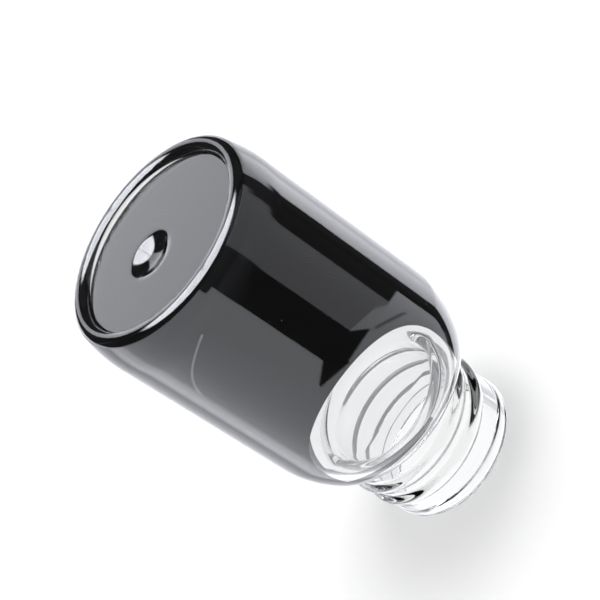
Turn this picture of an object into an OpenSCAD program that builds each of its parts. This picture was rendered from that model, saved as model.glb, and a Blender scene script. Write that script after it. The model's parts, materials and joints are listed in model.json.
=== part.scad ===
// Small screw-neck glass vial with a black coat inside its body.
// It stands on its mouth: the mouth rim is at z = 0, the base is at the top.
// The body's axis is the Z axis, and the neck sits a little to the -X side of it.

/* [Body] */
// Outside diameter of the body
body_d = 22; // [20:0.1:26]
// Height of the whole vial, from the mouth rim to the top of the foot ring
vial_h = 39.5; // [36:0.1:60]
// Thickness of the glass in the body wall and the shoulder
wall = 1; // [0.9:0.05:1.4]

/* [Shoulder] */
// How far the shoulder's curve comes in from the body's side
shoulder_in = 3; // [2.5:0.1:3.4]
// How far along the body the shoulder's curve reaches
shoulder_h = 5.9; // [5:0.1:7]
// Radius of the tight bend where the shoulder turns flat
shoulder_bend = 2.2; // [1.9:0.05:2.4]

/* [Foot] */
// How far the middle of the foot ring is in from the body's side
foot_in = 1.4; // [1.35:0.05:2.6]
// How far along the body the foot's curve reaches
foot_h = 4.4; // [4:0.1:6]
// Radius of the foot ring's rounded top
foot_bend = 0.9; // [0.6:0.05:1.3]
// Depth of the flat base below the top of the foot ring
push_up = 0.8; // [0.4:0.1:1.6]
// Thickness of the glass in the base
base_t = 2; // [1.2:0.1:3.5]
// Radius of the inside corner between the wall and the base
base_corner = 2.4; // [1:0.1:3.5]

/* [Dimple] */
// Diameter of the round dimple in the base
dimple_d = 4.4; // [2:0.1:6]
// Depth of the dimple
dimple_depth = 0.65; // [0.2:0.05:0.8]
// How far the dimple is from the body's axis
dimple_off = 1.4; // [0:0.1:2]

/* [Neck] */
// How far the neck's axis is from the body's axis
neck_off = 0.9; // [0:0.1:1]
// Length of the neck, from the mouth rim to the shoulder
neck_h = 9.6; // [8.5:0.1:14]
// Diameter of the mouth's bore
bore_d = 12.6; // [11.6:0.1:12.8]
// Outside diameter of the neck between the thread's ridges
neck_d = 14.4; // [13.8:0.1:14.6]
// Radius of the fillet where the neck meets the shoulder
neck_fillet = 0.6; // [0.3:0.05:0.8]
// Radius of the rounded edge where the cavity runs into the bore
entry_bend = 0.9; // [0.5:0.05:1.2]
// Outside diameter of the lip round the mouth
lip_d = 14.7; // [14.5:0.1:15.2]
// Height of the lip
lip_h = 1.5; // [1.2:0.1:2]
// Radius of the lip's rounded edges
lip_bend = 0.35; // [0.25:0.01:0.4]

/* [Thread] */
// Height of the thread's ridges above the neck
ridge_h = 0.5; // [0.3:0.05:0.6]
// Width of a ridge at its foot
ridge_w = 1.8; // [1.2:0.1:2]
// Distance between one ridge and the next
pitch = 2.5; // [2.2:0.1:3]
// Number of ridges, one for each turn of the thread
ridges = 3; // [1:1:3]
// Height of the first ridge's middle above the mouth rim
thread_z = 2.7; // [2.5:0.1:3]

/* [Coat] */
// Thickness of the black coat
coat_t = 0.15; // [0.1:0.01:0.4]
// Diameter of the bare middle of the inner shoulder, where the coat stops
bare_d = 18; // [17:0.1:18.4]
// Diameter of the circle above the bare middle up to which the window leaves the coat whole
band_d = 18.7; // [18.5:0.1:19.2]
// Diameter of the bare round window in the coat, on the -Y side
window_d = 15; // [12:0.1:17]
// Distance from the shoulder to the middle of the window
window_z = 5.3; // [4:0.1:12]
// How far the window's middle is to the -X side of the body's axis
window_off = 0.8; // [0:0.1:1.5]

/* [Hidden] */
$fn = 96;
body_r = body_d / 2;
neck_r = neck_d / 2;
bore_r = bore_d / 2;
lip_r = lip_d / 2;
base_z = vial_h - push_up;
ring_in_r = body_r - foot_in - foot_bend;
// Every cut runs this far past the face that it opens
past = 1;

// Radius of the long arc that meets the body's side and a tight bend smoothly
function long_r(in, high, bend) =
    (in * in + high * high - 2 * high * bend) / (2 * (in - bend));

// Half outline of a rounded end that comes in by "in" over a length "high", with the side
// at radius r and the end face at height 0. "skin" moves the whole outline inwards.
module rounded_end(r, in, high, bend, skin) {
    long = long_r(in, high, bend);
    flat_r = r - in;
    // Height at which the long arc meets the tight bend
    meet_z = bend - (high - bend) * (bend - skin) / (long - bend);
    intersection() {
        translate([r - long, high]) circle(long - skin);
        translate([0, meet_z]) square([r, high - meet_z]);
    }
    translate([flat_r, bend]) circle(bend - skin);
    translate([0, skin]) square([flat_r, high - skin]);
}

// Half outline of the body's outside, with the base's hollow taken out
module body_outline() {
    difference() {
        union() {
            translate([0, neck_h]) rounded_end(body_r, shoulder_in, shoulder_h, shoulder_bend, 0);
            translate([0, neck_h + shoulder_h])
                square([body_r, vial_h - neck_h - shoulder_h - foot_h]);
            translate([0, vial_h]) mirror([0, 1]) rounded_end(body_r, foot_in, foot_h, foot_bend, 0);
        }
        difference() {
            translate([-body_r, base_z]) square([body_r + body_r - foot_in, push_up + past]);
            translate([body_r - foot_in, vial_h - foot_bend]) circle(foot_bend);
            // Below its bend the foot ring's inner side is straight
            if (push_up > foot_bend)
                translate([ring_in_r, base_z]) square([foot_bend, push_up - foot_bend]);
        }
        translate([-body_r, 0]) square([body_r, vial_h + past]);
    }
}

// Half outline of the cavity, drawn smaller all round by "skin"
module cavity_outline(skin) {
    cavity_r = body_r - wall - skin;
    corner = base_corner - skin;
    corner_z = base_z - base_t - base_corner;
    difference() {
        union() {
            translate([0, neck_h])
                rounded_end(body_r, shoulder_in, shoulder_h, shoulder_bend, wall + skin);
            translate([0, neck_h + shoulder_h])
                square([cavity_r, corner_z - neck_h - shoulder_h]);
            translate([0, corner_z]) square([cavity_r - corner, corner]);
            translate([cavity_r - corner, corner_z]) circle(corner);
        }
        translate([-body_r, 0]) square([body_r, vial_h]);
    }
}

// One turn of the thread, as a round-topped ridge all round the neck
module ridge() {
    bend = (ridge_w * ridge_w / 4 + ridge_h * ridge_h) / (2 * ridge_h);
    rotate_extrude() intersection() {
        translate([neck_r + ridge_h - bend, 0]) circle(bend);
        translate([bore_r, -ridge_w]) square([neck_r + ridge_h - bore_r, 2 * ridge_w]);
    }
}

// Outside of the neck: the plain wall, its lip, its fillet into the shoulder and its thread
module neck_solid() {
    cylinder(h = neck_h + wall, r = neck_r);
    rotate_extrude() {
        translate([0, lip_bend]) square([lip_r, lip_h - 2 * lip_bend]);
        square([lip_r - lip_bend, lip_h]);
        translate([lip_r - lip_bend, lip_bend]) circle(lip_bend);
        translate([lip_r - lip_bend, lip_h - lip_bend]) circle(lip_bend);
    }
    rotate_extrude() difference() {
        translate([bore_r, neck_h - neck_fillet])
            square([neck_r + neck_fillet - bore_r, neck_fillet + wall / 2]);
        translate([neck_r + neck_fillet, neck_h - neck_fillet]) circle(neck_fillet);
    }
    for (i = [0 : ridges - 1]) translate([0, 0, thread_z + i * pitch]) ridge();
}

// The bore, with a rounded edge at the mouth and another where it opens into the cavity
module neck_bore() {
    inside_z = neck_h + wall;
    translate([0, 0, -past]) cylinder(h = inside_z + 2 * past, r = bore_r);
    rotate_extrude() difference() {
        translate([0, -past]) square([bore_r + lip_bend, past + lip_bend]);
        translate([bore_r + lip_bend, lip_bend]) circle(lip_bend);
    }
    rotate_extrude() difference() {
        translate([0, inside_z - entry_bend]) square([bore_r + entry_bend, entry_bend + past]);
        translate([bore_r + entry_bend, inside_z - entry_bend]) circle(entry_bend);
    }
}

module base_dimple() {
    ball_r = (dimple_d * dimple_d / 4 + dimple_depth * dimple_depth) / (2 * dimple_depth);
    translate([-dimple_off, 0, base_z + ball_r - dimple_depth]) sphere(ball_r);
}

module glass_vial() {
    color("gainsboro", 0.4) difference() {
        union() {
            rotate_extrude() body_outline();
            translate([-neck_off, 0, 0]) neck_solid();
        }
        rotate_extrude() cavity_outline(0);
        translate([-neck_off, 0, 0]) neck_bore();
        base_dimple();
    }
}

module black_coat() {
    color("black") difference() {
        rotate_extrude() difference() {
            cavity_outline(0);
            cavity_outline(coat_t);
        }
        cylinder(h = neck_h + shoulder_h, d = bare_d);
        difference() {
            translate([-window_off, 0, neck_h + window_z]) rotate([90, 0, 0])
                cylinder(h = body_d, d = window_d);
            cylinder(h = neck_h + shoulder_h, d = band_d);
        }
    }
}

glass_vial();
black_coat();
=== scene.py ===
"""Small screw-neck glass vial with a black coat inside, standing on its mouth on a white floor."""
import json
import math

import bmesh
import bpy
from mathutils import Matrix, Vector


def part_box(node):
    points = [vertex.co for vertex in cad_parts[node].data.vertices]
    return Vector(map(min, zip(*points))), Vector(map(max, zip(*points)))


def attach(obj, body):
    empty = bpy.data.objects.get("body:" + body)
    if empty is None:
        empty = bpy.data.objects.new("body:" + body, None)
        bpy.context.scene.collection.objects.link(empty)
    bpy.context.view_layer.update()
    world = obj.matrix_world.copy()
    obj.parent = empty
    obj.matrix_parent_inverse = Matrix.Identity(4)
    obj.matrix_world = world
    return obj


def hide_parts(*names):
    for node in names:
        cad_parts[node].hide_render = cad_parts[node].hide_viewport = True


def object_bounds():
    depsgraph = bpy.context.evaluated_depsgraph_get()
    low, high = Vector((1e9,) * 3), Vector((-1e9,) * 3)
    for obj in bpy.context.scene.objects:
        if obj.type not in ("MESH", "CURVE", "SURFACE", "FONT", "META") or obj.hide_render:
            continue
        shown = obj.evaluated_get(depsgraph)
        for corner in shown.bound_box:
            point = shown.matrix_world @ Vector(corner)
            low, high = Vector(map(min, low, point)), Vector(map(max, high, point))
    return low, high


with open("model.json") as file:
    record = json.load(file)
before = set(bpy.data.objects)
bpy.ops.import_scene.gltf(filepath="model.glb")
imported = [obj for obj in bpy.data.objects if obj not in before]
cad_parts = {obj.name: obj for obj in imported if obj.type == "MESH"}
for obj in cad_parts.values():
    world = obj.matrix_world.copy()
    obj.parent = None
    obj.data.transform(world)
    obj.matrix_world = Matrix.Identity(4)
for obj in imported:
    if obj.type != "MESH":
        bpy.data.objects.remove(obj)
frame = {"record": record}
cad_low, cad_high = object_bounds()

# ---------------------------------------------------------------- sizes, in metres
MM = 0.001
MOUNTS = {m["name"]: m for m in frame["record"]["mounts"]}

# Sizes that the frame gives
BODY_R = (cad_high.x - cad_low.x) / 2
VIAL_H = cad_high.z
BASE_Z = MOUNTS["base_face"]["pos_m"][2]
BORE_R = MOUNTS["mouth_bore"]["dims"]["r_mm"] * MM
NECK_X = MOUNTS["mouth_bore"]["pos_m"][0]
coat_low, coat_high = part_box("black_coat")
CAVITY_R = (coat_high.x - coat_low.x) / 2
CAVITY_TOP = coat_high.z
WALL = BODY_R - CAVITY_R

# Sizes of the shoulder, the foot ring, the dimple, the neck and the thread. LIP_START is the
# angle, in degrees, at which the arc of the lip's upper edge starts.
SHOULDER_IN, SHOULDER_H, SHOULDER_BEND = 3 * MM, 5.9 * MM, 2.2 * MM
FOOT_IN, FOOT_H, FOOT_BEND = 1.4 * MM, 4.4 * MM, 0.9 * MM
INNER_CORNER = 2.4 * MM
DIMPLE_R, DIMPLE_DEPTH, DIMPLE_X = 2.2 * MM, 0.65 * MM, -1.4 * MM
NECK_R, NECK_H, NECK_FILLET = 7.2 * MM, 9.6 * MM, 0.6 * MM
ENTRY_BEND = 0.9 * MM
LIP_R, LIP_H, LIP_BEND = 7.35 * MM, 1.5 * MM, 0.35 * MM
LIP_START = 65
RIDGE_H, RIDGE_W, PITCH = 0.5 * MM, 1.9 * MM, 2.5 * MM
THREAD_START, THREAD_TURNS = 2.3 * MM, 2.4
# How fast the thread rises at its two ends, per turn, and how much its crest is narrowed
THREAD_RISE, CREST_POWER = 5, 1.3

# Sizes of the coat
COAT_T = 0.15 * MM
COAT_SUNK = 0.01 * MM
BARE_R, BAND_R, BAND_X = 9 * MM, 9.05 * MM, -0.5 * MM
WINDOW_R, WINDOW_X, WINDOW_Z = 7.5 * MM, -0.8 * MM, NECK_H + 5.3 * MM

# The smear on the coat, part of a thin circle: its middle, its radius and its half width, and
# the height over its middle at which it fades in, with that fade's softness
SMEAR_X, SMEAR_Z, SMEAR_R, SMEAR_W = -1.85 * MM, 29.5 * MM, 6.4 * MM, 0.07 * MM
SMEAR_FADE = (1 * MM, 0.6 * MM)

# How finely the meshes are cut: round the axis, and along each stretch of the outlines
SEGMENTS = 192
TIGHT_STEPS, WIDE_STEPS, SIDE_STEPS = 18, 26, 24
CORNER_STEPS, ROOF_STEPS = 16, 12
DIMPLE_STEPS, BASE_STEPS, RING_STEPS = 16, 12, 20
FILLET_STEPS, NECK_STEPS, LIP_TOP_STEPS, LIP_STEPS = 8, 84, 6, 10
BORE_STEPS, ENTRY_STEPS = 40, 12
# An edge whose faces turn by more than this stays sharp
SHARP_ANGLE = math.radians(32)


# ---------------------------------------------------------------- outlines
def arc(cx, cz, radius, start, end, steps):
    """Points (r, z) on an arc round (cx, cz), from the angle start to the angle end in degrees."""
    points = []
    for i in range(steps + 1):
        a = math.radians(start + (end - start) * i / steps)
        points.append((cx + radius * math.cos(a), cz + radius * math.sin(a)))
    return points


def line(a, b, steps):
    """Points (r, z) from a to b, without the two ends."""
    return [(a[0] + (b[0] - a[0]) * i / steps, a[1] + (b[1] - a[1]) * i / steps)
            for i in range(1, steps)]


def rounded_end(r, inward, high, bend, skin):
    """Outline from the flat end at height 0 to the side at height high: a tight bend, then a long
    arc that meets both smoothly. skin moves it inwards."""
    long = (inward ** 2 + high ** 2 - 2 * high * bend) / (2 * (inward - bend))
    flat = r - inward
    turn = math.degrees(math.atan2(high - bend, flat - (r - long)))
    tight = arc(flat, bend, bend - skin, -90, -turn, TIGHT_STEPS)
    wide = arc(r - long, high, long - skin, -turn, 0, WIDE_STEPS)
    return tight + wide[1:]


def cavity_wall(skin):
    """Outline of the cavity from the flat inner shoulder to the roof's middle, drawn in by skin."""
    lower = rounded_end(BODY_R, SHOULDER_IN, SHOULDER_H, SHOULDER_BEND, WALL + skin)
    lower = [(r, z + NECK_H) for r, z in lower]
    corner = arc(CAVITY_R - INNER_CORNER, CAVITY_TOP - INNER_CORNER, INNER_CORNER - skin,
                 0, 90, CORNER_STEPS)
    roof_r, roof_z = corner[-1]
    roof = [(roof_r * i / ROOF_STEPS, roof_z) for i in range(ROOF_STEPS - 1, 0, -1)]
    return lower + line(lower[-1], corner[0], SIDE_STEPS) + corner + roof


# ---------------------------------------------------------------- meshes
def lathe(name, rows, swell=None):
    """Piece turned from rows of (r, z, x of the ring's middle), closed because it starts and ends
    on a point. swell(angle, z) adds to the radius where a row asks for it with a fourth value."""
    mesh = bpy.data.meshes.new(name)
    bm = bmesh.new()
    rings = []
    for row in rows:
        r, z, middle = row[:3]
        if r == 0:
            rings.append([bm.verts.new((middle, 0, z))])
            continue
        ring = []
        for i in range(SEGMENTS):
            angle = 2 * math.pi * i / SEGMENTS
            out = r + (swell(angle, z) if len(row) > 3 else 0)
            ring.append(bm.verts.new((middle + out * math.cos(angle), out * math.sin(angle), z)))
        rings.append(ring)
    for a, b in zip(rings, rings[1:]):
        for i in range(SEGMENTS):
            j = (i + 1) % SEGMENTS
            corners = [a[i % len(a)], a[j % len(a)], b[j % len(b)], b[i % len(b)]]
            bm.faces.new(list(dict.fromkeys(corners)))
    bmesh.ops.recalc_face_normals(bm, faces=bm.faces)
    bm.to_mesh(mesh)
    bm.free()
    smooth(mesh)
    return put_in_scene(name, mesh)


def smooth(mesh):
    """Makes the faces smooth and keeps the sharp edges."""
    mesh.polygons.foreach_set("use_smooth", [True] * len(mesh.polygons))
    mesh.set_sharp_from_angle(angle=SHARP_ANGLE)


def put_in_scene(name, data):
    """Object that holds the mesh, lamp or camera data, linked to the scene."""
    thing = bpy.data.objects.new(name, data)
    bpy.context.scene.collection.objects.link(thing)
    return thing


def thread_swell(angle, z):
    """Height of the right-handed thread above the neck."""
    turn = (z - THREAD_START) / PITCH
    turns_up = angle / (2 * math.pi)
    nearest = round(turn - turns_up)
    along = nearest + turns_up
    off = (turn - along) * PITCH
    if abs(off) >= RIDGE_W / 2:
        return 0
    start = min(1, max(0, along * THREAD_RISE))
    end = min(1, max(0, (THREAD_TURNS - along) * THREAD_RISE))
    fade = start * end
    fade = fade * fade * (3 - 2 * fade)
    return RIDGE_H * fade * math.cos(math.pi * off / RIDGE_W) ** CREST_POWER


def make_vial():
    """The glass, one closed skin: the base, the outside, the neck, the bore and the cavity."""
    ball = (DIMPLE_R ** 2 + DIMPLE_DEPTH ** 2) / (2 * DIMPLE_DEPTH)
    rows = [(0, BASE_Z - DIMPLE_DEPTH, DIMPLE_X)]
    for i in range(1, DIMPLE_STEPS + 1):
        r = DIMPLE_R * i / DIMPLE_STEPS
        rows.append((r, BASE_Z + ball - DIMPLE_DEPTH - math.sqrt(ball ** 2 - r ** 2), DIMPLE_X))
    # The flat base, whose rings run from the dimple's middle to the body's, and the foot ring,
    # which rises out of the base
    ring_z = VIAL_H - FOOT_BEND
    rise = 180 - math.degrees(math.asin((BASE_Z - ring_z) / FOOT_BEND))
    ring = arc(BODY_R - FOOT_IN, ring_z, FOOT_BEND, rise, 90, RING_STEPS)
    inner_r = ring[0][0]
    for i in range(1, BASE_STEPS):
        t = i / BASE_STEPS
        rows.append((DIMPLE_R + (inner_r - DIMPLE_R) * t, BASE_Z, DIMPLE_X * (1 - t)))
    # The foot ring's outer bend, the side and the shoulder
    foot = rounded_end(BODY_R, FOOT_IN, FOOT_H, FOOT_BEND, 0)
    foot = [(r, VIAL_H - z) for r, z in foot]
    shoulder = rounded_end(BODY_R, SHOULDER_IN, SHOULDER_H, SHOULDER_BEND, 0)
    shoulder = [(r, z + NECK_H) for r, z in reversed(shoulder)]
    outside = ring + foot[1:] + line(foot[-1], shoulder[0], SIDE_STEPS) + shoulder
    rows += [(r, z, 0) for r, z in outside]
    # The fillet into the neck, the threaded neck, the lip and the bore, round the neck's own axis
    fillet = arc(NECK_R + NECK_FILLET, NECK_H - NECK_FILLET, NECK_FILLET, 90, 180, FILLET_STEPS)
    rows += [(r, z, NECK_X) for r, z in fillet]
    neck = line(fillet[-1], (NECK_R, LIP_H), NECK_STEPS)
    rows += [(r, z, NECK_X, True) for r, z in neck]
    lip_r = LIP_R - LIP_BEND
    lip = [(NECK_R, LIP_H)]
    lip += arc(lip_r, LIP_H - LIP_BEND, LIP_BEND, LIP_START, 0, LIP_TOP_STEPS)
    lip += arc(lip_r, LIP_BEND, LIP_BEND, 0, -90, LIP_STEPS)
    lip += arc(BORE_R + LIP_BEND, LIP_BEND, LIP_BEND, -90, -180, LIP_STEPS)
    entry_z = NECK_H + WALL - ENTRY_BEND
    bore = line(lip[-1], (BORE_R, entry_z), BORE_STEPS)
    entry = arc(BORE_R + ENTRY_BEND, entry_z, ENTRY_BEND, 180, 90, ENTRY_STEPS)
    rows += [(r, z, NECK_X) for r, z in lip + bore + entry]
    # The cavity
    rows += [(r, z, 0) for r, z in cavity_wall(0)]
    rows.append((0, CAVITY_TOP, 0))
    return lathe("vial", rows, thread_swell)


def cylinder(name, radius, length, matrix):
    """Cylinder for cutting, round its own Z axis and from 0 to length, placed by the matrix."""
    mesh = bpy.data.meshes.new(name)
    bm = bmesh.new()
    bmesh.ops.create_cone(bm, cap_ends=True, segments=SEGMENTS, radius1=radius, radius2=radius,
                          depth=length, matrix=matrix @ Matrix.Translation((0, 0, length / 2)))
    bm.to_mesh(mesh)
    bm.free()
    return put_in_scene(name, mesh)


def cut(piece, cutter):
    """Takes the cutter's shape out of the piece, and removes the cutter."""
    boolean = piece.modifiers.new("cut", "BOOLEAN")
    boolean.operation = "DIFFERENCE"
    boolean.solver = "EXACT"
    boolean.object = cutter
    evaluated = piece.evaluated_get(bpy.context.evaluated_depsgraph_get())
    mesh = bpy.data.meshes.new_from_object(evaluated)
    piece.modifiers.clear()
    piece.data = mesh
    bpy.data.objects.remove(cutter)


def closed_rows(outline):
    """Rows for lathe() round the body's axis, closed on the axis at both ends of the outline."""
    return [(0, outline[0][1], 0)] + [(r, z, 0) for r, z in outline] + [(0, outline[-1][1], 0)]


def make_coat():
    """The black coat, sunk a hair into the glass so that no air lies between them."""
    shell = lathe("coat", closed_rows(cavity_wall(-COAT_SUNK)))
    cut(shell, lathe("coat_room", closed_rows(cavity_wall(COAT_T))))
    cut(shell, cylinder("bare_shoulder", BARE_R, NECK_H + SHOULDER_H, Matrix.Identity(4)))
    facing = Matrix.Rotation(math.radians(90), 4, "X")
    window = cylinder("window", WINDOW_R, 2 * BODY_R,
                      Matrix.Translation((WINDOW_X, 0, WINDOW_Z)) @ facing)
    # The window leaves the coat whole within the band's circle
    cut(window, cylinder("band", BAND_R, NECK_H + SHOULDER_H, Matrix.Translation((BAND_X, 0, 0))))
    cut(shell, window)
    smooth(shell.data)
    return shell


# ---------------------------------------------------------------- materials
# The glass: its two tints, the scale and detail of the noise between them, and the colour that it
# gives to the light in its shadow
GLASS_IOR = 1.5
GLASS_TINTS = ((0.885, 0.895, 0.9, 1), (0.92, 0.925, 0.925, 1))
TINT_SCALE, TINT_DETAIL = 160, 1
GLASS_SHADOW = (0.9, 0.91, 0.91, 1)
# The coat: its two blacks, the scale and detail of the noise between them, and its dull face
COAT_BLACKS = ((0.0012, 0.0012, 0.0016, 1), (0.0022, 0.0021, 0.0020, 1))
COAT_SCALE, COAT_DETAIL = 300, 4
COAT_ROUGHNESS, COAT_SPECULAR = 0.4, 0.01
# The dust and the smear on it
SPECK_SCALE, SPECK_SIZE, SPECK_LIGHT = 700, 0.03, 0.4
DUST_COLOUR = (0.6, 0.6, 0.62, 1)


def new_material(name):
    """Empty node material: (material, nodes, links, output)."""
    material = bpy.data.materials.new(name)
    material.use_nodes = True
    nodes = material.node_tree.nodes
    nodes.clear()
    return material, nodes, material.node_tree.links, nodes.new("ShaderNodeOutputMaterial")


def node_math(tree, operation, *values):
    """Math node whose inputs are sockets or numbers. Returns its output."""
    node = tree.nodes.new("ShaderNodeMath")
    node.operation = operation
    for slot, value in zip(node.inputs, values):
        if isinstance(value, (int, float)):
            slot.default_value = value
        else:
            tree.links.new(value, slot)
    return node.outputs[0]


def soft_step(tree, value, edge, softness):
    """0 below the edge and 1 above it, with a soft change between."""
    node = tree.nodes.new("ShaderNodeMapRange")
    node.interpolation_type = "SMOOTHSTEP"
    node.inputs["From Min"].default_value = edge - softness
    node.inputs["From Max"].default_value = edge + softness
    tree.links.new(value, node.inputs["Value"])
    return node.outputs["Result"]


def uneven_colour(nodes, links, place, scale, detail, dark, pale):
    """Noise in the piece's own frame between two colours: (the colour's node, the noise's node)."""
    noise = nodes.new("ShaderNodeTexNoise")
    noise.inputs["Scale"].default_value = scale
    noise.inputs["Detail"].default_value = detail
    ramp = nodes.new("ShaderNodeValToRGB")
    ramp.color_ramp.elements[0].color = dark
    ramp.color_ramp.elements[1].color = pale
    links.new(place.outputs["Object"], noise.inputs["Vector"])
    links.new(noise.outputs["Fac"], ramp.inputs["Fac"])
    return ramp, noise


def clear_glass():
    """Clear glass, a little uneven in its tint. Shadow rays pass through it, so that the light
    isn't blocked."""
    material, nodes, links, output = new_material("clear_glass")
    glass = nodes.new("ShaderNodeBsdfPrincipled")
    glass.inputs["Roughness"].default_value = 0.0
    glass.inputs["IOR"].default_value = GLASS_IOR
    glass.inputs["Transmission Weight"].default_value = 1.0
    place = nodes.new("ShaderNodeTexCoord")
    tint, _ = uneven_colour(nodes, links, place, TINT_SCALE, TINT_DETAIL, *GLASS_TINTS)
    links.new(tint.outputs["Color"], glass.inputs["Base Color"])
    clear = nodes.new("ShaderNodeBsdfTransparent")
    clear.inputs["Color"].default_value = GLASS_SHADOW
    path = nodes.new("ShaderNodeLightPath")
    mix = nodes.new("ShaderNodeMixShader")
    links.new(path.outputs["Is Shadow Ray"], mix.inputs["Fac"])
    links.new(glass.outputs["BSDF"], mix.inputs[1])
    links.new(clear.outputs["BSDF"], mix.inputs[2])
    links.new(mix.outputs["Shader"], output.inputs["Surface"])
    return material


def black_coat():
    """Black coat, a little uneven in its colour, with specks of dust and a thin curved smear."""
    material, nodes, links, output = new_material("black_coat")
    coat = nodes.new("ShaderNodeBsdfPrincipled")
    coat.inputs["Roughness"].default_value = COAT_ROUGHNESS
    coat.inputs["Specular IOR Level"].default_value = COAT_SPECULAR
    place = nodes.new("ShaderNodeTexCoord")
    black, noise = uneven_colour(nodes, links, place, COAT_SCALE, COAT_DETAIL, *COAT_BLACKS)
    # Specks of dust
    tree = material.node_tree
    cells = nodes.new("ShaderNodeTexVoronoi")
    cells.inputs["Scale"].default_value = SPECK_SCALE
    links.new(place.outputs["Object"], cells.inputs["Vector"])
    speck = node_math(tree, "LESS_THAN", cells.outputs["Distance"], SPECK_SIZE)
    # The smear: the upper -X part of the circle, on the -Y side of the coat near the base
    split = nodes.new("ShaderNodeSeparateXYZ")
    links.new(place.outputs["Object"], split.inputs["Vector"])
    x, y, z = split.outputs
    along_x = node_math(tree, "SUBTRACT", x, SMEAR_X)
    along_z = node_math(tree, "SUBTRACT", z, SMEAR_Z)
    x_squared = node_math(tree, "POWER", along_x, 2.0)
    z_squared = node_math(tree, "POWER", along_z, 2.0)
    apart = node_math(tree, "SQRT", node_math(tree, "ADD", x_squared, z_squared))
    off = node_math(tree, "ABSOLUTE", node_math(tree, "SUBTRACT", apart, SMEAR_R))
    thin = node_math(tree, "SUBTRACT", 1.0, soft_step(tree, off, SMEAR_W, SMEAR_W))
    arc_part = node_math(tree, "MULTIPLY", node_math(tree, "LESS_THAN", along_x, -SMEAR_R / 3),
                         soft_step(tree, along_z, *SMEAR_FADE))
    smear = node_math(tree, "MULTIPLY", thin, arc_part)
    smear = node_math(tree, "MULTIPLY", smear, node_math(tree, "LESS_THAN", y, 0.0))
    smear = node_math(tree, "MULTIPLY", smear, noise.outputs["Fac"])
    pale = node_math(tree, "MAXIMUM", node_math(tree, "MULTIPLY", speck, SPECK_LIGHT), smear)
    # A colour mix has its factor in socket 0 and its two colours in 6 and 7, and gives socket 2
    mix = nodes.new("ShaderNodeMix")
    mix.data_type = "RGBA"
    links.new(pale, mix.inputs[0])
    links.new(black.outputs["Color"], mix.inputs[6])
    mix.inputs[7].default_value = DUST_COLOUR
    links.new(mix.outputs[2], coat.inputs["Base Color"])
    links.new(coat.outputs["BSDF"], output.inputs["Surface"])
    return material


# ---------------------------------------------------------------- studio
# What the glass mirrors: soft-edged panels in a dark room, painted over one another in this order.
# Bearings run from the -Y side towards +X and heights up from the horizon, in degrees. Each panel
# has its two bearings and their softness; its lower and its upper edge, each as a height at the
# panel's middle and its rise per degree of bearing; their softness; and its brightness.
PANELS = [
    ("back_wall", 104, 236, 2, -90, 0, 66, 0, 8, 2.85),
    ("back_left", 178, 234, 6, -90, 0, -8, 0, 8, 1.3),
    ("back_right", 108, 176, 14, -90, 0, 2, 0, 10, 1.8),
    ("back_right_low", 110, 136, 5, -36, 0, -14, 0, 7, 3.1),
    ("back_right_foot", 106, 180, 3, -90, 0, -37, 0, 2, 3.3),
    ("dark_back_right", 104, 170, 2, 4, 0, 60, 0, 3, 0.07),
    ("dark_back_left", 191, 224, 2, 4, 0, 60, 0, 3, 0.07),
    ("dark_right", 104, 166, 2, 30, 0.67, 110, 0, 1.5, 0.14),
    ("dark_left", -137, -88, 3, 3, 0, 58, 0, 2, 0.07),
    ("bank", 42, 100, 8, 20, 0, 58, 0, 3, 0.55),
    ("left_panel", -122, -6, 0.8, -90, 0, 5.6, 0.08, 1, 2.25),
    ("left_panel_edge", -125, -108, 4, -90, 0, -3, 0, 5, 3.2),
    ("left_gap", -40, 31, 1, 9, 0.08, 60, 0, 1, 0.09),
    ("bar_top", -14, -4, 0.8, -4, 0, 14, 0, 1, 0.09),
    ("right_panel", 31, 92, 1, -90, 0, 15.5, -0.15, 1, 1.05),
    ("right_panel_top", 31, 86, 2, 10, -0.15, 15.5, -0.15, 2, 2.3),
    ("strip", 92, 105, 0.8, -90, 0, 60, 0, 1, 0.07),
    ("strip_step", 86, 105, 2, -90, 0, -10, 0, 4, 0.12),
    ("strip_foot", 79, 112, 1.2, -90, 0, -24, 0, 3, 0.1),
    ("bright_line", 100.4, 101.4, 0.4, -90, 0, -29, 0, 0.6, 1.1),
    ("overhead", -179, 179, 1, 53, 0, 95, 0, 4, 17),
    ("crescent", 30, 66, 1, -90, 0, -34.95, -0.0066, 0.03, 2.0),
    ("crescent_right", 65, 93, 1, -90, 0, -35.42, -0.026, 0.05, 1.8),
    ("arm_left", -27.5, -5, 0.8, -90, 0, -34.82, 0.0146, 0.06, 0.1),
    ("arm_right", 27, 45, 0.8, -90, 0, -35.02, -0.034, 0.06, 0.1),
    ("table", -32, 8, 1, -90, 0, -35.18, -0.009, 0.05, 2.1),
    ("table_right", 7, 97, 1, -90, 0, -35.29, 0, 0.05, 2.1),
    ("crescent_line", 46, 80, 4, -35.66, -0.0136, -35.56, -0.0136, 0.05, 0.9),
    ("strip_end", 97.5, 104, 0.8, -46, 0, -30, 0, 1, 0.08),
]
# The dark room behind the panels, and the panels' colour
DARK_ROOM = 0.09
PANEL_COLOUR = (0.97, 0.985, 1.045, 1)
# How bright other rays see the room: straight, and above UPPER_EDGE through the glass. An edge is
# its middle and its softness, here in degrees.
ROOM_LIGHT, UPPER_LIGHT = 1.0, 0.2
UPPER_EDGE = (4, 6)
# How bright the glass shows the floor: straight, and mirrored from within on and off a round patch
# under the vial's back, whose lower brightness is painted shade. The patch ends softly between its
# two radii.
FLOOR_THROUGH, FLOOR_PAINTED_SHADE, FLOOR_PAST = 1.0, 0.22, 1.0
SHADE_PATCH_PLACE, SHADE_PATCH_R, PAST_R = (2 * MM, 5 * MM, 0), 10.5 * MM, 12.5 * MM
# Through the glass the floor turns grey far from the vial: painted shade
FAR_EDGE, FAR_LIGHT = (110 * MM, 60 * MM), 0.45
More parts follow.
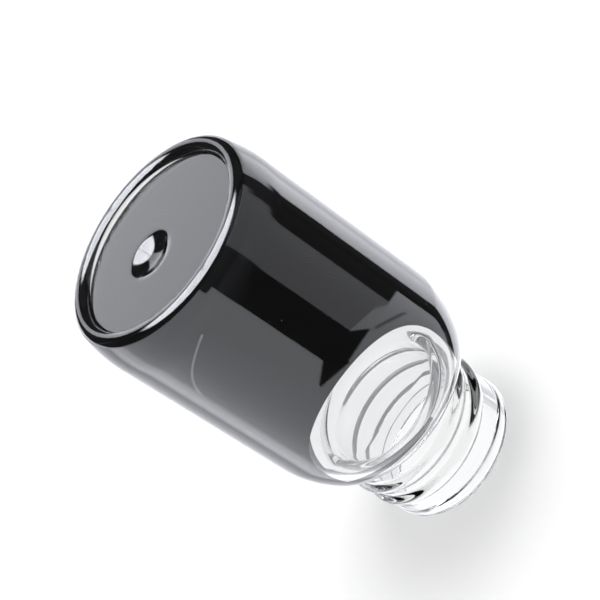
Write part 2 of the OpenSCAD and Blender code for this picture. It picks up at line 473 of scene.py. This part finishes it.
# The floor: its colour, the part of it that glows for the camera, which makes the shadow paler,
# its half size, and how far it lies under the mouth
FLOOR_COLOUR, FLOOR_GLOW = (0.9, 0.9, 0.9, 1), 0.35
FLOOR_HALF, FLOOR_DROP = 100 * VIAL_H, 0.02 * MM
# The lamp: its place, its side length in metres and its power in watts
LAMP_PLACE, LAMP_SIZE, LAMP_POWER = (0.065, 0.06, 0.36), 0.14, 0.8


def panel_mask(tree, bearing, height, left, right, side, low, low_rise, high, high_rise, soft):
    """1 inside a panel and 0 outside it."""
    middle, half = (left + right) / 2, (right - left) / 2
    turned = node_math(tree, "WRAP", node_math(tree, "SUBTRACT", bearing, middle), 180.0, -180.0)
    out = node_math(tree, "SUBTRACT", half, node_math(tree, "ABSOLUTE", turned))
    over = node_math(tree, "SUBTRACT", height, node_math(tree, "MULTIPLY", turned, low_rise))
    under = node_math(tree, "SUBTRACT", node_math(tree, "MULTIPLY", turned, high_rise), height)
    inside = soft_step(tree, out, 0, side)
    mask = node_math(tree, "MULTIPLY", inside, soft_step(tree, over, low, soft))
    return node_math(tree, "MULTIPLY", mask, soft_step(tree, under, -high, soft))


def has_passed(tree, path, kind):
    """1 for a ray that was mirrored (Glossy) or went through glass (Transmission), or else 0. The
    depths are whole numbers."""
    return node_math(tree, "GREATER_THAN", path.outputs[kind + " Depth"], 0.5)


def make_world():
    """White room. Rays that have been mirrored see the panels in a dark room instead."""
    world = bpy.data.worlds.new("studio")
    bpy.context.scene.world = world
    world.use_nodes = True
    tree = world.node_tree
    tree.nodes.clear()
    place = tree.nodes.new("ShaderNodeTexCoord")
    split = tree.nodes.new("ShaderNodeSeparateXYZ")
    tree.links.new(place.outputs["Generated"], split.inputs["Vector"])
    back = node_math(tree, "MULTIPLY", split.outputs["Y"], -1.0)
    bearing = node_math(tree, "DEGREES", node_math(tree, "ARCTAN2", split.outputs["X"], back))
    height = node_math(tree, "DEGREES", node_math(tree, "ARCSINE", split.outputs["Z"]))
    seen = DARK_ROOM
    for _, *shape, brightness in PANELS:
        mask = panel_mask(tree, bearing, height, *shape)
        rest = node_math(tree, "SUBTRACT", 1.0, mask)
        kept = node_math(tree, "MULTIPLY", rest, seen)
        seen = node_math(tree, "MULTIPLY_ADD", mask, brightness, kept)
    path = tree.nodes.new("ShaderNodeLightPath")
    tent = tree.nodes.new("ShaderNodeBackground")
    tent.inputs["Color"].default_value = PANEL_COLOUR
    tree.links.new(seen, tent.inputs["Strength"])
    # Rays bent upwards by the glass see the room's darker upper part
    through = has_passed(tree, path, "Transmission")
    upper = node_math(tree, "MULTIPLY", through, soft_step(tree, height, *UPPER_EDGE))
    white = tree.nodes.new("ShaderNodeBackground")
    tree.links.new(node_math(tree, "MULTIPLY_ADD", upper, UPPER_LIGHT - ROOM_LIGHT, ROOM_LIGHT),
                   white.inputs["Strength"])
    mix = tree.nodes.new("ShaderNodeMixShader")
    tree.links.new(has_passed(tree, path, "Glossy"), mix.inputs["Fac"])
    tree.links.new(white.outputs["Background"], mix.inputs[1])
    tree.links.new(tent.outputs["Background"], mix.inputs[2])
    output = tree.nodes.new("ShaderNodeOutputWorld")
    tree.links.new(mix.outputs["Shader"], output.inputs["Surface"])


def make_floor():
    """White floor, which keeps the shadow. Through the glass it glows white, with painted shade
    where the glass mirrors it from within under the vial and far from it, and it leaves what the
    outside mirrors to the room."""
    material, nodes, links, output = new_material("white_floor")
    tree = material.node_tree
    paper = nodes.new("ShaderNodeBsdfDiffuse")
    paper.inputs["Color"].default_value = FLOOR_COLOUR
    clear = nodes.new("ShaderNodeBsdfTransparent")
    path = nodes.new("ShaderNodeLightPath")
    mirrored = has_passed(tree, path, "Glossy")
    within = has_passed(tree, path, "Transmission")
    # What rays that have been through the glass see: a white glow with painted shade
    seen = nodes.new("ShaderNodeEmission")
    place = nodes.new("ShaderNodeTexCoord")
    length = nodes.new("ShaderNodeVectorMath")
    length.operation = "LENGTH"
    links.new(place.outputs["Object"], length.inputs[0])
    apart = nodes.new("ShaderNodeVectorMath")
    apart.operation = "DISTANCE"
    apart.inputs[1].default_value = SHADE_PATCH_PLACE
    links.new(place.outputs["Object"], apart.inputs[0])
    # Painted shade: the glow is darker on the round patch under the vial's back, for rays mirrored
    # within
    past = soft_step(tree, apart.outputs["Value"], (SHADE_PATCH_R + PAST_R) / 2, (PAST_R - SHADE_PATCH_R) / 2)
    under = node_math(tree, "MULTIPLY_ADD", past, FLOOR_PAST - FLOOR_PAINTED_SHADE, FLOOR_PAINTED_SHADE)
    loss = node_math(tree, "SUBTRACT", FLOOR_THROUGH, under)
    darker = node_math(tree, "MULTIPLY", mirrored, loss)
    near = node_math(tree, "SUBTRACT", FLOOR_THROUGH, darker)
    # Painted shade: the glow turns grey far from the vial
    far = soft_step(tree, length.outputs["Value"], *FAR_EDGE)
    greyer = node_math(tree, "MULTIPLY_ADD", far, FAR_LIGHT - 1, 1.0)
    links.new(node_math(tree, "MULTIPLY", near, greyer), seen.inputs["Strength"])
    # What the camera sees: paper that glows a little. Light that bounces sees plain paper.
    lit = nodes.new("ShaderNodeEmission")
    pale = nodes.new("ShaderNodeMixShader")
    pale.inputs["Fac"].default_value = FLOOR_GLOW
    links.new(paper.outputs["BSDF"], pale.inputs[1])
    links.new(lit.outputs["Emission"], pale.inputs[2])
    straight = nodes.new("ShaderNodeMixShader")
    links.new(path.outputs["Is Camera Ray"], straight.inputs["Fac"])
    links.new(paper.outputs["BSDF"], straight.inputs[1])
    links.new(pale.outputs["Shader"], straight.inputs[2])
    # Rays mirrored on the outside pass through the floor to the room
    outside = nodes.new("ShaderNodeMixShader")
    links.new(mirrored, outside.inputs["Fac"])
    links.new(straight.outputs["Shader"], outside.inputs[1])
    links.new(clear.outputs["BSDF"], outside.inputs[2])
    mix = nodes.new("ShaderNodeMixShader")
    links.new(within, mix.inputs["Fac"])
    links.new(outside.outputs["Shader"], mix.inputs[1])
    links.new(seen.outputs["Emission"], mix.inputs[2])
    links.new(mix.outputs["Shader"], output.inputs["Surface"])
    mesh = bpy.data.meshes.new("floor")
    half = FLOOR_HALF
    corners = [(-half, -half, 0), (half, -half, 0), (half, half, 0), (-half, half, 0)]
    mesh.from_pydata(corners, [], [(0, 1, 2, 3)])
    mesh.materials.append(material)
    floor = put_in_scene("floor", mesh)
    floor.location.z = -FLOOR_DROP


def make_lamp(name, place, size, power):
    """Soft square lamp that looks at the vial's middle and doesn't show in its gloss."""
    lamp = bpy.data.lights.new(name, "AREA")
    lamp.size = size
    lamp.energy = power
    holder = put_in_scene(name, lamp)
    holder.location = place
    aim = Vector((0, 0, VIAL_H / 2)) - Vector(place)
    holder.rotation_euler = aim.to_track_quat("-Z", "Y").to_euler()
    holder.visible_glossy = False
    holder.visible_transmission = False


# The camera: its place, how far it looks down and how far it is rolled, in degrees, and its lens
# in millimetres
CAMERA_PLACE = (2.67 * MM, -148.86 * MM, 120.75 * MM)
CAMERA_DOWN, CAMERA_ROLL = 33.15, -55.57
CAMERA_LENS = 119.4


def make_camera():
    """Camera that looks along +Y and down, rolled so that the base points to the upper left."""
    lens = bpy.data.cameras.new("camera")
    lens.lens = CAMERA_LENS
    camera = put_in_scene("camera", lens)
    tilt = Matrix.Rotation(math.radians(90 - CAMERA_DOWN), 4, "X")
    roll = Matrix.Rotation(math.radians(CAMERA_ROLL), 4, "Z")
    camera.matrix_world = Matrix.Translation(CAMERA_PLACE) @ tilt @ roll
    bpy.context.scene.camera = camera


# ---------------------------------------------------------------- the scene
make_camera()
vial = make_vial()
vial.data.materials.append(clear_glass())
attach(vial, "root")
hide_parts("glass_vial")

coat = make_coat()
coat.data.materials.clear()
coat.data.materials.append(black_coat())
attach(coat, "root")
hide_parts("black_coat")

make_world()
make_floor()
make_lamp("key", LAMP_PLACE, LAMP_SIZE, LAMP_POWER)
bpy.context.scene.view_settings.view_transform = "Standard"
